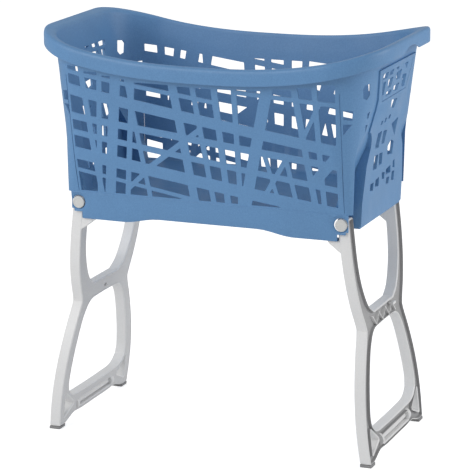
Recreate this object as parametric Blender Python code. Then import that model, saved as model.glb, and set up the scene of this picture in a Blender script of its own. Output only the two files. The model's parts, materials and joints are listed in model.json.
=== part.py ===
"""Laundry basket on two fold-out leg frames. Metres, +Z up, X along the basket, front at -Y."""

import math

import bmesh
import bpy

# Overall
LENGTH = 0.665             # over the rim, end to end
WIDTH = 0.413              # over the rim, front to back
PIN_HEIGHT = 0.4405        # floor to the pin axis with the legs down
RIM_END_RISE = 0.3207      # pin axis to the rim top at the two ends
RIM_MIDDLE_RISE = 0.274    # pin axis to the rim top halfway along the long sides
RIM_CURVE = 2.55           # power of the rim's rise towards the ends
RIM_BAND = 0.0285          # height of the turned-down rim band

# Basket walls, measured up from the pin axis
WALL = 0.0026
END_SETBACK = 0.056        # foot of the end walls, in from the rim
SIDE_SETBACK = 0.055       # foot of the long walls, in from the rim
BASE_HALF_LENGTH = LENGTH / 2 - END_SETBACK
BASE_HALF_WIDTH = WIDTH / 2 - SIDE_SETBACK
END_FLARE = 0.055          # outward run of an end wall per metre of height
END_FLARE_TOP = 0.090      # what is added to that run above FLARE_START
FLARE_START = 0.130
SIDE_FLARE = 0.165         # outward run of a long wall per metre of height
BASE_RADIUS = 0.009
WALL_RADIUS = 0.085        # corner radius just under the rim
RIM_RADIUS = 0.105
HOLD_HALF = 0.047          # hand hold in the band at each end
HOLD_RISE = 0.011
FUNNEL = 0.030             # depth over which the walls open out to the mouth
MOUTH_END = 0.024          # mouth, in from the rim at the ends and along the sides
MOUTH_SIDE = 0.012
SIDE_BOW = 0.006           # how far the long sides swell at their middle
FLOOR_UNDERSIDE = 0.018
SKIRT_DROP = 0.030         # skirt edge below the pin axis at the corners
SKIRT_WALL = 0.003
SKIRT_ARCH = 0.010         # how much higher the edge is at the middle
ARCH_START = 0.1115        # where the arch begins, in from the foot of the end wall
ARCH_RUN = 0.070           # length of its slope
END_DROP = 0.012           # edge of the end walls below the pin axis
LATTICE_BOTTOM = 0.024
LATTICE_UNDER_RIM = 0.012

# Hinges
PIN_SETBACK = 0.0228       # pin axis, in from the foot of the end wall
PIN_HALF_SPACING = BASE_HALF_LENGTH - PIN_SETBACK
PIN_RADIUS = 0.004
PIN_CAP_RADIUS = 0.0105
PIN_CAP = 0.003
CLIP_RADIUS = 0.008
CLIP = 0.003
CAP_SINK = 0.004           # depth of the flat seat of each pin cap
CAP_SEAT = BASE_HALF_WIDTH - CAP_SINK
FORK_WALL = 0.002          # between that seat and the rail
CHEEK = 0.003              # web that carries the inner end of each pin
GAP = 0.0004               # between parts that touch
SIDE_PLAY = 0.001          # beside each rail in its fork

# Leg frames
SPLAY = math.radians(6.7)
FOLD_LEAN = math.radians(18.0)
RAIL_OUTER = CAP_SEAT - FORK_WALL - SIDE_PLAY
RAIL_WIDTH = 0.0280
RAIL_INNER = RAIL_OUTER - RAIL_WIDTH
DEPTH_IN = 0.0085          # frame depth on the inboard side of the pin axis
DEPTH_OUT = 0.0125
RAIL_TOP = 0.010
WAIST_TOP = 0.182          # pin axis to the top of the waist bar
WAIST_HEIGHT = 0.025
WAIST_BOTTOM = WAIST_TOP + WAIST_HEIGHT
FOOT_PAD = 0.005
FOOT_BAR_LIFT = 0.016      # floor to the underside of the foot bar
OPENING_LIFT = 0.0525      # floor to the opening above that bar
GRIP_RADIUS = 0.006
GRIP_HALF = RAIL_OUTER - 0.0695
GRIP_LIFT = 0.0295         # floor to the middle of the grip bar
GRIP_PLAY = 0.002          # round the grip bar in its slot
WAIST_RIBS = 7
RIB_WALL = 0.0044          # between neighbouring recesses in the waist
LUG_REACH = 0.031          # stop lug, inboard of the pin axis
CHANNEL_PLAY = 0.0055      # behind the folded rail
CORNER_STEPS = 8
LONG_STEPS = 16
END_STEPS = 8

BLUE = (0.13, 0.27, 0.47, 1.0)
GREY = (0.72, 0.73, 0.75, 1.0)
RUBBER = (0.33, 0.34, 0.35, 1.0)

# Lattice bars of a long wall: start x, start z, end x, end z, width; z up from the pin axis
LONG_BARS = [
    (-0.231, 0.265, -0.204, 0.020, 0.010),
    (-0.193, 0.265, -0.203, 0.020, 0.010),
    (-0.157, 0.265, -0.189, 0.020, 0.018),
    (-0.124, 0.265, -0.154, 0.020, 0.009),
    (-0.135, 0.211, -0.106, 0.020, 0.008),
    (-0.055, 0.265, -0.020, 0.020, 0.015),
    (-0.016, 0.265, 0.016, 0.020, 0.009),
    (0.027, 0.265, 0.044, 0.020, 0.011),
    (0.066, 0.265, 0.067, 0.020, 0.009),
    (0.134, 0.265, 0.074, 0.020, 0.019),
    (0.173, 0.265, 0.210, 0.020, 0.011),
    (0.212, 0.265, 0.225, 0.020, 0.009),
    (-0.262, 0.248, 0.262, 0.181, 0.008),
    (-0.262, 0.216, 0.262, 0.135, 0.018),
    (-0.262, 0.168, 0.262, 0.107, 0.012),
    (-0.262, 0.136, 0.262, 0.063, 0.010),
    (-0.262, 0.100, 0.262, 0.020, 0.019),
    (-0.149, 0.037, -0.092, 0.090, 0.008),
    (-0.092, 0.090, 0.001, 0.161, 0.009),
    (0.175, 0.038, 0.262, 0.139, 0.016),
    (0.116, 0.047, 0.154, 0.110, 0.008),
]

# Windows of an end wall, as outlines of y, z
END_WINDOWS = [
    [(-0.082, 0.262), (-0.052, 0.262), (-0.055, 0.252), (-0.080, 0.252)],
    [(-0.044, 0.262), (-0.022, 0.262), (-0.026, 0.254), (-0.046, 0.254)],
    [(0.040, 0.262), (0.062, 0.262), (0.058, 0.250)],
    [(-0.076, 0.246), (-0.060, 0.246), (-0.062, 0.222), (-0.070, 0.222)],
    [(-0.046, 0.246), (-0.020, 0.248), (-0.024, 0.231), (-0.044, 0.231)],
    [(0.000, 0.252), (0.028, 0.254), (0.024, 0.238), (0.001, 0.238)],
    [(0.038, 0.242), (0.062, 0.240), (0.060, 0.218), (0.042, 0.219)],
    [(-0.047, 0.224), (-0.018, 0.224), (-0.020, 0.217), (-0.046, 0.217)],
    [(-0.006, 0.228), (0.024, 0.230), (0.019, 0.217), (-0.005, 0.219)],
    [(-0.004, 0.202), (0.028, 0.200), (0.018, 0.184), (-0.002, 0.188)],
    [(0.020, 0.154), (0.056, 0.160), (0.050, 0.127)],
    [(-0.056, 0.150), (-0.033, 0.151), (-0.041, 0.122), (-0.061, 0.123)],
    [(-0.023, 0.149), (-0.002, 0.147), (-0.009, 0.124), (-0.026, 0.125)],
    [(0.014, 0.114), (0.031, 0.122), (0.047, 0.117), (0.044, 0.094), (0.014, 0.098)],
    [(-0.060, 0.110), (-0.040, 0.109), (-0.045, 0.084), (-0.067, 0.085)],
    [(-0.034, 0.109), (-0.015, 0.108), (-0.016, 0.087), (-0.033, 0.087)],
    [(0.014, 0.071), (0.038, 0.074), (0.041, 0.060), (0.012, 0.061)],
    [(0.052, 0.078), (0.061, 0.081), (0.064, 0.064), (0.052, 0.067)],
    [(-0.075, 0.061), (-0.056, 0.061), (-0.058, 0.046), (-0.075, 0.049)],
    [(-0.046, 0.063), (-0.026, 0.065), (-0.026, 0.048), (-0.047, 0.051)],
    [(-0.012, 0.070), (0.006, 0.067), (0.005, 0.055), (-0.008, 0.057)],
    [(0.018, 0.054), (0.035, 0.053), (0.032, 0.041), (0.017, 0.043)],
    [(0.049, 0.059), (0.064, 0.059), (0.063, 0.041), (0.048, 0.043)],
]


def new_mesh(name, verts, faces):
    mesh = bpy.data.meshes.new(name)
    mesh.from_pydata([tuple(v) for v in verts], [], faces)
    shape = bmesh.new()
    shape.from_mesh(mesh)
    bmesh.ops.recalc_face_normals(shape, faces=shape.faces)
    shape.to_mesh(mesh)
    shape.free()
    obj = bpy.data.objects.new(name, mesh)
    bpy.context.scene.collection.objects.link(obj)
    return obj


def finish(obj, colour, roughness=0.45):
    material = bpy.data.materials.new(obj.name + "_material")
    material.use_nodes = True
    shader = material.node_tree.nodes["Principled BSDF"]
    shader.inputs["Base Color"].default_value = colour
    shader.inputs["Roughness"].default_value = roughness
    obj.data.materials.append(material)
    obj.data.shade_smooth()
    obj.data.set_sharp_from_angle(angle=math.radians(35))


def boolean(target, tool, operation="DIFFERENCE"):
    modifier = target.modifiers.new(operation.lower() + "_" + tool.name, "BOOLEAN")
    modifier.operation = operation
    modifier.solver = "EXACT"
    modifier.object = tool
    tool.hide_render = True
    tool.display_type = "WIRE"


def across(base):
    """Faces that close a basket ring front to back, so that a saddle-shaped end stays ruled."""
    count = 2 * (LONG_STEPS + 2 * CORNER_STEPS + END_STEPS)
    right = LONG_STEPS + CORNER_STEPS - 1
    left = right + count // 2
    faces = [tuple(base + start + i for i in range(END_STEPS + 3)) for start in (right, left)]
    first = left + END_STEPS + 2
    for k in range(first, count + right):
        near = (k, k + 1)
        far = [(count // 2 + LONG_STEPS - i) % count for i in near]
        faces.append((base + near[0] % count, base + near[1] % count, base + far[1], base + far[0]))
    return faces


def loft(name, rings, ruled=False):
    """Closed solid through rings of equal length, capped at both ends."""
    count = len(rings[0])
    last = (len(rings) - 1) * count
    faces = across(0) + across(last) if ruled else [tuple(range(count)), tuple(range(last, last + count))]
    for lower in range(len(rings) - 1):
        for i in range(count):
            a, b = lower * count + i, lower * count + (i + 1) % count
            faces.append((a, b, b + count, a + count))
    return new_mesh(name, [point for ring in rings for point in ring], faces)


def prisms(name, outlines, place):
    """One mesh of separate prisms; place(u, v, end) turns an outline point into x, y, z."""
    verts, faces = [], []
    for outline in outlines:
        base, count = len(verts), len(outline)
        verts += [place(u, v, 0) for u, v in outline] + [place(u, v, 1) for u, v in outline]
        faces.append(tuple(base + i for i in range(count)))
        faces.append(tuple(base + count + i for i in range(count)))
        for i in range(count):
            j = (i + 1) % count
            faces.append((base + i, base + j, base + count + j, base + count + i))
    return new_mesh(name, verts, faces)


def turned(name, x, z, profile, hollow=False, steps=32):
    """Solid of revolution about a line along Y; profile lists y and radius from one end to the other."""
    rings = []
    for y, radius in profile:
        turn = [2 * math.pi * i / steps for i in range(steps)]
        rings.append([(x + radius * math.cos(t), y, z + radius * math.sin(t)) for t in turn])
    if not hollow:
        return loft(name, rings)
    faces = []
    for k in range(len(rings)):
        after = (k + 1) % len(rings)
        for i in range(steps):
            j = (i + 1) % steps
            faces.append((k * steps + i, k * steps + j, after * steps + j, after * steps + i))
    return new_mesh(name, [point for ring in rings for point in ring], faces)


def plan(half_length, half_width, radius, bow):
    """Rounded rectangle whose long sides swell by bow, anticlockwise from the front left corner."""
    reach = half_length - radius
    side = half_width - bow
    points = []
    for sign in (-1, 1):
        for i in range(LONG_STEPS):
            x = reach * (2 * i / LONG_STEPS - 1)
            points.append((-sign * x, sign * (side + bow * (1 - (x / reach) ** 2))))
        for i in range(CORNER_STEPS):
            t = math.pi / 2 * i / CORNER_STEPS
            points.append((-sign * (reach + radius * math.sin(t)), sign * (side - radius + radius * math.cos(t))))
        for i in range(END_STEPS):
            y = (side - radius) * (1 - 2 * i / END_STEPS)
            points.append((-sign * half_length, sign * y))
        for i in range(CORNER_STEPS):
            t = math.pi / 2 * i / CORNER_STEPS
            points.append((-sign * (reach + radius * math.cos(t)), -sign * (side - radius + radius * math.sin(t))))
    return points


def rim_rise(x):
    share = min(abs(x) / (LENGTH / 2), 1.0)
    return RIM_MIDDLE_RISE + (RIM_END_RISE - RIM_MIDDLE_RISE) * share ** RIM_CURVE


def wall_half_length(z):
    return BASE_HALF_LENGTH + END_FLARE * max(z, 0.0) + END_FLARE_TOP * max(z - FLARE_START, 0.0)


def wall_half_width(z):
    return BASE_HALF_WIDTH + SIDE_FLARE * max(z, 0.0)


def flat_ring(z, inset, radius):
    half_length, half_width = wall_half_length(z) - inset, wall_half_width(z) - inset
    return [(x, y, PIN_HEIGHT + z) for x, y in plan(half_length, half_width, radius, SIDE_BOW * 0.5)]


def skirt_ring(inset):
    """Ring along the skirt edge, which arches up between the corners of the long sides."""
    ring = []
    for x, y, _ in flat_ring(-SKIRT_DROP, inset, max(BASE_RADIUS - inset, 0.004)):
        share = min(max((BASE_HALF_LENGTH - ARCH_START - abs(x)) / ARCH_RUN, 0.0), 1.0)
        arch = SKIRT_ARCH * share * share * (3 - 2 * share)
        ring.append((x, y, PIN_HEIGHT - SKIRT_DROP + arch))
    return ring


def top_ring(length_inset, width_inset, radius, drop):
    """Ring that follows the saddle of the rim, drop below its top."""
    outline = plan(LENGTH / 2 - length_inset, WIDTH / 2 - width_inset, radius, SIDE_BOW)
    return [(x, y, PIN_HEIGHT + rim_rise(x) - drop) for x, y in outline]


def band_edge_ring(inset):
    """Lower edge of the rim band, raised at the middle of each end as a hand hold."""
    ring = []
    for x, y, z in top_ring(inset, inset, RIM_RADIUS - inset, RIM_BAND):
        at_end = abs(x) > LENGTH / 2 - inset - 0.001
        ring.append((x, y, z + at_end * HOLD_RISE * max(0.0, 1 - (y / HOLD_HALF) ** 2)))
    return ring


def wall_top_ring(inset, drop):
    """Ring where the wall meets the rim, drop below the rim top."""
    half_length = wall_half_length(RIM_END_RISE - drop) - inset
    half_width = wall_half_width(RIM_MIDDLE_RISE - drop) - inset
    outline = plan(half_length, half_width, WALL_RADIUS - inset, SIDE_BOW)
    return [(x, y, PIN_HEIGHT + rim_rise(x) - drop) for x, y in outline]


def clip(polygon, nx, nz, limit):
    """Part of a convex polygon where nx * u + nz * v <= limit."""
    kept = []
    for i, (u0, v0) in enumerate(polygon):
        u1, v1 = polygon[(i + 1) % len(polygon)]
        d0, d1 = nx * u0 + nz * v0 - limit, nx * u1 + nz * v1 - limit
        if d0 <= 0:
            kept.append((u0, v0))
        if d0 * d1 < 0:
            t = d0 / (d0 - d1)
            kept.append((u0 + t * (u1 - u0), v0 + t * (v1 - v0)))
    return kept


def area(polygon):
    total = 0.0
    for i, (u0, v0) in enumerate(polygon):
        u1, v1 = polygon[(i + 1) % len(polygon)]
        total += u0 * v1 - u1 * v0
    return abs(total) / 2


def windows(panel, bars, smallest):
    """Openings left in a convex panel between straight bars; a bar splits only what it runs through."""
    cells = [panel]
    for u0, v0, u1, v1, width in bars:
        length = math.hypot(u1 - u0, v1 - v0)
        du, dv = (u1 - u0) / length, (v1 - v0) / length
        middle = -dv * u0 + du * v0
        start, end = du * u0 + dv * v0, du * u1 + dv * v1
        split = []
        for cell in cells:
            along = [du * u + dv * v for u, v in cell]
            inside = min(max(along), end) - max(min(along), start)
            if inside < 0.5 * (max(along) - min(along)):
                split.append(cell)
                continue
            split.append(clip(cell, -dv, du, middle - width / 2))
            split.append(clip(cell, dv, -du, -middle - width / 2))
        cells = [cell for cell in split if len(cell) > 2 and area(cell) > smallest]
    return cells


for old in list(bpy.data.objects):
    bpy.data.objects.remove(old, do_unlink=True)

# ---- Basket -------------------------------------------------------------------------------
basket = loft("basket", [
    skirt_ring(0.0),
    flat_ring(0.0, 0.0, BASE_RADIUS),
    flat_ring(LATTICE_BOTTOM, 0.0, 0.016),
    flat_ring(FLARE_START, 0.0, 0.048),
    wall_top_ring(0.0, FUNNEL),
    top_ring(MOUTH_END - WALL, MOUTH_SIDE - WALL, RIM_RADIUS - MOUTH_SIDE, 1.6 * WALL),
    top_ring(WALL, WALL, RIM_RADIUS - WALL, 1.6 * WALL),
    band_edge_ring(WALL),
    band_edge_ring(0.0),
    top_ring(0.0, 0.0, RIM_RADIUS, 0.006),
    top_ring(0.0018, 0.0018, RIM_RADIUS - 0.0018, 0.0018),
    top_ring(0.006, 0.005, RIM_RADIUS - 0.005, 0.0),
    top_ring(0.010, 0.007, RIM_RADIUS - 0.007, 0.0),
], ruled=True)

cavity = loft("cavity", [
    flat_ring(FLOOR_UNDERSIDE + WALL, WALL + 0.006, 0.012),
    flat_ring(FLOOR_UNDERSIDE + WALL + 0.005, WALL, 0.014),
    flat_ring(FLARE_START, WALL, 0.048 - WALL),
    wall_top_ring(WALL, FUNNEL),
    top_ring(MOUTH_END, MOUTH_SIDE, RIM_RADIUS - MOUTH_SIDE, 0.0012),
    top_ring(MOUTH_END - 0.005, MOUTH_SIDE - 0.002, RIM_RADIUS - MOUTH_SIDE, -0.012),
], ruled=True)

under = loft("under", [
    flat_ring(-SKIRT_DROP - 0.02, SKIRT_WALL, 0.007),
    flat_ring(FLOOR_UNDERSIDE, SKIRT_WALL, 0.011),
], ruled=True)

fold_run = math.tan(FOLD_LEAN)
channel_depth = DEPTH_OUT + CHANNEL_PLAY
fork_inner = RAIL_INNER - SIDE_PLAY
fork_outer = RAIL_OUTER + SIDE_PLAY


def channel(name, sx, sy, grow):
    """Wedge that one folded rail lies in, grown outward by a wall for the shell around it."""
    inner = fork_inner + 0.0003 - grow
    outline = [(inner, -0.0175), (fork_outer + 2 * grow, -0.0175), (fork_outer + 2 * grow, 0.115)]
    for i in range(7):
        t = math.pi * i / 6
        outline.append((fork_inner + (RAIL_WIDTH + 0.0005 + grow) * math.cos(t),
                        0.130 + (0.034 + grow) * math.sin(t)))
    outline += [(fork_inner - 0.0115 - grow, 0.100), (inner, 0.035)]
    back = PIN_HALF_SPACING - (channel_depth + grow) / math.cos(FOLD_LEAN)

    def place(u, v, end):
        return (sx * (LENGTH if end else back + v * fold_run), sy * u, PIN_HEIGHT + v)

    return prisms(name, [outline], place)


corners = [("front_left", -1, -1), ("front_right", 1, -1), ("back_left", -1, 1), ("back_right", 1, 1)]


def corner_boxes(name, x0, x1, y0, y1, z0, z1):
    """The same box at all four corners, z up from the pin axis."""
    outlines = []
    for _, sx, sy in corners:
        outlines.append([(sx * x0, sy * y0), (sx * x1, sy * y0), (sx * x1, sy * y1), (sx * x0, sy * y1)])
    return prisms(name, outlines, lambda u, v, end: (u, v, PIN_HEIGHT + (z0, z1)[end]))


for corner, sx, sy in corners:
    boolean(cavity, channel(corner + "_channel_shell", sx, sy, WALL))
boolean(under, corner_boxes("cheeks", PIN_HALF_SPACING - 0.016, PIN_HALF_SPACING + 0.026,
                            fork_inner - CHEEK, fork_inner, -0.016, 0.03))
boolean(under, corner_boxes("stops", PIN_HALF_SPACING - LUG_REACH - 0.003, PIN_HALF_SPACING - LUG_REACH + 0.005,
                            fork_inner + 0.002, WIDTH, 0.001 - SKIRT_DROP, 0.03))
end_edge = BASE_HALF_LENGTH - 0.0145
boolean(basket, prisms("end_edges", [[(s * end_edge, -WIDTH), (s * LENGTH, -WIDTH), (s * LENGTH, WIDTH),
                                      (s * end_edge, WIDTH)] for s in (-1, 1)], lambda u, v, end: (
    u, v, PIN_HEIGHT + (-0.05, -END_DROP)[end])))
boolean(basket, cavity)
boolean(basket, under)
boolean(basket, corner_boxes("fork_ends", PIN_HALF_SPACING + DEPTH_OUT + 0.0008, LENGTH, fork_outer - 0.002, WIDTH,
                             -0.05, 0.020))
boolean(basket, corner_boxes("notches", PIN_HALF_SPACING - 0.0075, LENGTH, fork_inner - 0.02, WIDTH, -0.05, -0.017))
for corner, sx, sy in corners:
    boolean(basket, channel(corner + "_channel", sx, sy, 0.0))
    seat = [(sy * CAP_SEAT, PIN_CAP_RADIUS + 0.002), (sy * (CAP_SEAT + 0.0225), PIN_CAP_RADIUS + 0.002)]
    boolean(basket, turned(corner + "_seat", sx * PIN_HALF_SPACING, PIN_HEIGHT, seat))
    bore = [(sy * (fork_inner - 0.0255), PIN_RADIUS + GAP), (sy * (CAP_SEAT + 0.0125), PIN_RADIUS + GAP)]
    boolean(basket, turned(corner + "_bore", sx * PIN_HALF_SPACING, PIN_HEIGHT, bore, steps=16))

# Lattice: the back is the mirror image of the front; the left end is the right one turned half round
panel_low, panel_high = BASE_HALF_LENGTH - 0.0295, BASE_HALF_LENGTH - 0.014
long_panel = [(-panel_low, LATTICE_BOTTOM), (panel_low, LATTICE_BOTTOM), (panel_high, 0.285), (-panel_high, 0.285)]
long_cells = []
for cell in windows(long_panel, LONG_BARS, 0.00006):
    middle = sum(u for u, v in cell) / len(cell)
    cell = clip(cell, 0.0, 1.0, rim_rise(middle) - RIM_BAND - LATTICE_UNDER_RIM)
    if len(cell) > 2 and area(cell) > 0.00006:
        long_cells.append(cell)
for side, turn in (("front", 1), ("back", -1)):
    boolean(basket, prisms(side + "_lattice", long_cells, lambda u, v, end: (
        u, -turn * (wall_half_width(v) + (0.02, -WALL - 0.004 - 0.1 * u * u)[end]), PIN_HEIGHT + v)))
end_cells = [clip(outline, 0.0, 1.0, RIM_END_RISE - RIM_BAND - LATTICE_UNDER_RIM) for outline in END_WINDOWS]
end_cells = [cell for cell in end_cells if len(cell) > 2 and area(cell) > 0.00006]
for side, turn in (("right", 1), ("left", -1)):
    boolean(basket, prisms(side + "_lattice", end_cells, lambda u, v, end: (
        turn * (wall_half_length(v) + (0.02, -WALL - 0.007)[end]), turn * u, PIN_HEIGHT + v)))
weld = basket.modifiers.new("weld", "WELD")
weld.merge_threshold = 0.00002
finish(basket, BLUE)

# ---- Leg frames ---------------------------------------------------------------------------
splay_run = math.tan(SPLAY)
frame_foot = -PIN_HEIGHT + FOOT_PAD + GAP


def arm(share):
    """Height of a point on the upper part of a frame, as a share of the way from the pin to the waist."""
    return -share * WAIST_TOP


def leg(share):
    """Height of a point on the lower part of a frame, as a share of the way from the waist to the floor."""
    return -WAIST_BOTTOM - share * (PIN_HEIGHT - WAIST_BOTTOM)


def side(share):
    """Height of a point beside the lower opening, as a share of the opening's height from its top."""
    return -WAIST_BOTTOM - share * (PIN_HEIGHT - OPENING_LIFT - WAIST_BOTTOM)


frame_outer = [
    (RAIL_OUTER, RAIL_TOP), (RAIL_OUTER, arm(0.25)), (RAIL_OUTER - 0.0020, arm(0.44)),
    (RAIL_OUTER - 0.0085, arm(0.66)), (RAIL_OUTER - 0.0205, arm(0.87)), (RAIL_OUTER - 0.0365, -WAIST_TOP - 0.010),
    (RAIL_OUTER - 0.0400, 0.005 - WAIST_BOTTOM), (RAIL_OUTER - 0.0345, leg(0.04)), (RAIL_OUTER - 0.0220, leg(0.14)),
    (RAIL_OUTER - 0.0060, leg(0.30)), (RAIL_OUTER + 0.0065, leg(0.463)), (RAIL_OUTER + 0.0140, leg(0.634)),
    (RAIL_OUTER + 0.0155, leg(0.805)), (RAIL_OUTER + 0.0120, frame_foot),
]
frame_inner = [(RAIL_OUTER - 0.0125, frame_foot), (RAIL_INNER - 0.0215, FOOT_BAR_LIFT - PIN_HEIGHT),
               (0.0, FOOT_BAR_LIFT - PIN_HEIGHT)]
slot_low = GRIP_LIFT - GRIP_RADIUS - GRIP_PLAY - PIN_HEIGHT
slot_high = GRIP_LIFT + GRIP_RADIUS + GRIP_PLAY - PIN_HEIGHT
grip_slot = [(0.0, slot_low), (GRIP_HALF + 0.001, slot_low), (GRIP_HALF + 0.001, slot_high), (0.0, slot_high)]
upper_inner = [
    (0.0, -WAIST_TOP), (RAIL_INNER - 0.0615, 0.005 - WAIST_TOP), (RAIL_INNER - 0.0385, 0.019 - WAIST_TOP),
    (RAIL_INNER - 0.0215, 0.042 - WAIST_TOP), (RAIL_INNER - 0.0085, 0.072 - WAIST_TOP),
    (RAIL_INNER - 0.0020, arm(0.44)), (RAIL_INNER, arm(0.275)), (RAIL_INNER, RAIL_TOP),
]
lower_opening = [
    (0.0, -WAIST_BOTTOM), (RAIL_INNER - 0.0645, side(0.003)), (RAIL_INNER - 0.0465, side(0.033)),
    (RAIL_INNER - 0.0325, side(0.105)), (RAIL_INNER - 0.0205, side(0.204)), (RAIL_INNER - 0.0055, side(0.398)),
    (RAIL_INNER + 0.0065, side(0.608)), (RAIL_INNER + 0.0135, side(0.807)), (RAIL_INNER + 0.0105, side(0.90)),
    (RAIL_INNER - 0.0045, side(0.967)), (RAIL_INNER - 0.0315, side(0.994)), (0.0, side(1.0)),
]
pocket = [(RAIL_INNER + 0.0235, 0.0675 - PIN_HEIGHT), (RAIL_INNER + 0.0235, 0.0185 - PIN_HEIGHT),
          (RAIL_INNER - 0.0195, 0.0365 - PIN_HEIGHT)]


def mirrored(half):
    """Whole outline from its y > 0 half, which runs from the middle plane round and back to it."""
    return half + [(-u, v) for u, v in reversed(half) if u > 0]


def build_frame(name, turn):
    def place_between(x0, x1):
        return lambda u, v, end: (turn * ((x0, x1)[end] - v * splay_run), turn * u, v)

    def hang(obj):
        obj.location = (turn * PIN_HALF_SPACING, 0.0, PIN_HEIGHT)
        return obj

    outline = upper_inner + frame_outer + frame_inner
    body = hang(prisms(name, [mirrored(outline)], place_between(-DEPTH_IN, DEPTH_OUT)))
    holes = [mirrored(lower_opening), mirrored(grip_slot)]
    holes += [[(sign * u, v) for u, v in pocket] for sign in (-1, 1)]
    boolean(body, hang(prisms(name + "_openings", holes, place_between(-0.05, 0.05))))
    recesses = []
    pitch = 2 * (RAIL_OUTER - 0.0785) / WAIST_RIBS
    half = pitch - RIB_WALL
    for i in range(WAIST_RIBS):
        middle = (i - (WAIST_RIBS - 1) / 2) * pitch
        base, tip = (0.004 - WAIST_BOTTOM, -WAIST_TOP - 0.005)[::1 if i % 2 else -1]
        recesses.append([(middle - half, base), (middle + half, base), (middle, tip)])
    boolean(body, hang(prisms(name + "_recesses", recesses, place_between(DEPTH_OUT - 0.011, DEPTH_OUT + 0.02))))
    grip_drop = PIN_HEIGHT - GRIP_LIFT
    grip_x = turn * ((DEPTH_OUT - DEPTH_IN) / 2 + grip_drop * splay_run)
    for sign, side in ((-1, "_a"), (1, "_b")):
        rail = sorted((sign * RAIL_OUTER, sign * RAIL_INNER))
        lug = [(0.0, -SKIRT_DROP - 0.0002), (-LUG_REACH, -SKIRT_DROP - 0.0002),
               (0.004 - LUG_REACH, -SKIRT_DROP - 0.0065), (0.0, -SKIRT_DROP - 0.030)]
        boolean(body, hang(prisms(name + "_lug" + side, [lug], lambda u, v, end: (
            turn * (u - v * splay_run), turn * rail[end], v))), "UNION")
        collar = [(sign * GRIP_HALF, GRIP_RADIUS + 0.0065), (sign * (GRIP_HALF + 0.001), GRIP_RADIUS + 0.0075),
                  (sign * (GRIP_HALF + 0.009), GRIP_RADIUS + 0.0075)]
        boolean(body, hang(turned(name + "_collar" + side, grip_x, -grip_drop, collar, steps=24)), "UNION")
    peg = [(0.036, -WAIST_TOP - 0.0015), (0.050, -WAIST_TOP - 0.0010), (0.050, -WAIST_TOP - 0.0050),
           (0.036, -WAIST_TOP - 0.0050)]
    boolean(body, hang(prisms(name + "_peg", [peg], place_between(DEPTH_OUT - 0.002, DEPTH_OUT + 0.009))), "UNION")
    grip_bore = [(-GRIP_HALF - 0.006, GRIP_RADIUS + GAP), (GRIP_HALF + 0.006, GRIP_RADIUS + GAP)]
    boolean(body, hang(turned(name + "_grip_bore", grip_x, -grip_drop, grip_bore)))
    bore = [(-WIDTH, PIN_RADIUS + GAP), (WIDTH, PIN_RADIUS + GAP)]
    boolean(body, hang(turned(name + "_pin_bore", 0.0, 0.0, bore, steps=16)))
    finish(body, GREY)

    grip = hang(turned(name.replace("leg_frame", "grip_bar"), grip_x, -grip_drop,
                       [(-GRIP_HALF - 0.0055, GRIP_RADIUS), (GRIP_HALF + 0.0055, GRIP_RADIUS)]))
    finish(grip, GREY)
    for end_name, sign in (("front", -1), ("back", 1)):
        pad_outline = [(RAIL_OUTER - 0.0120, -PIN_HEIGHT), (RAIL_OUTER + 0.0115, -PIN_HEIGHT),
                       (RAIL_OUTER + 0.0120, frame_foot - GAP), (RAIL_OUTER - 0.0125, frame_foot - GAP)]
        pad = [(sign * turn * u, v) for u, v in pad_outline]
        finish(hang(prisms(name.replace("leg_frame", end_name + "_foot_pad"), [pad],
                           place_between(-DEPTH_IN, DEPTH_OUT))), RUBBER, 0.8)


build_frame("left_leg_frame", -1)
build_frame("right_leg_frame", 1)

# ---- Hinge pins and their clips -----------------------------------------------------------
for corner, sx, sy in corners:
    inner = fork_inner - CHEEK
    profile = [(inner - 0.006, PIN_RADIUS), (CAP_SEAT + GAP, PIN_RADIUS), (CAP_SEAT + GAP, PIN_CAP_RADIUS),
               (CAP_SEAT + GAP + 0.75 * PIN_CAP, PIN_CAP_RADIUS), (CAP_SEAT + GAP + PIN_CAP, PIN_CAP_RADIUS - 0.001)]
    finish(turned(corner + "_pin", sx * PIN_HALF_SPACING, PIN_HEIGHT, [(sy * y, r) for y, r in profile]), GREY)
    ring = [(inner - GAP - CLIP, PIN_RADIUS + GAP), (inner - GAP, PIN_RADIUS + GAP),
            (inner - GAP, CLIP_RADIUS), (inner - GAP - CLIP, CLIP_RADIUS)]
    finish(turned(corner + "_clip", sx * PIN_HALF_SPACING, PIN_HEIGHT,
                  [(sy * y, r) for y, r in ring], hollow=True, steps=24), GREY)
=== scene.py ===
"""Looks of the laundry basket on two fold-out leg frames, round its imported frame. Metres, +Z up."""

import json
import math

import bmesh
import bpy
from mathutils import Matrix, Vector
from mathutils.geometry import delaunay_2d_cdt


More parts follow.
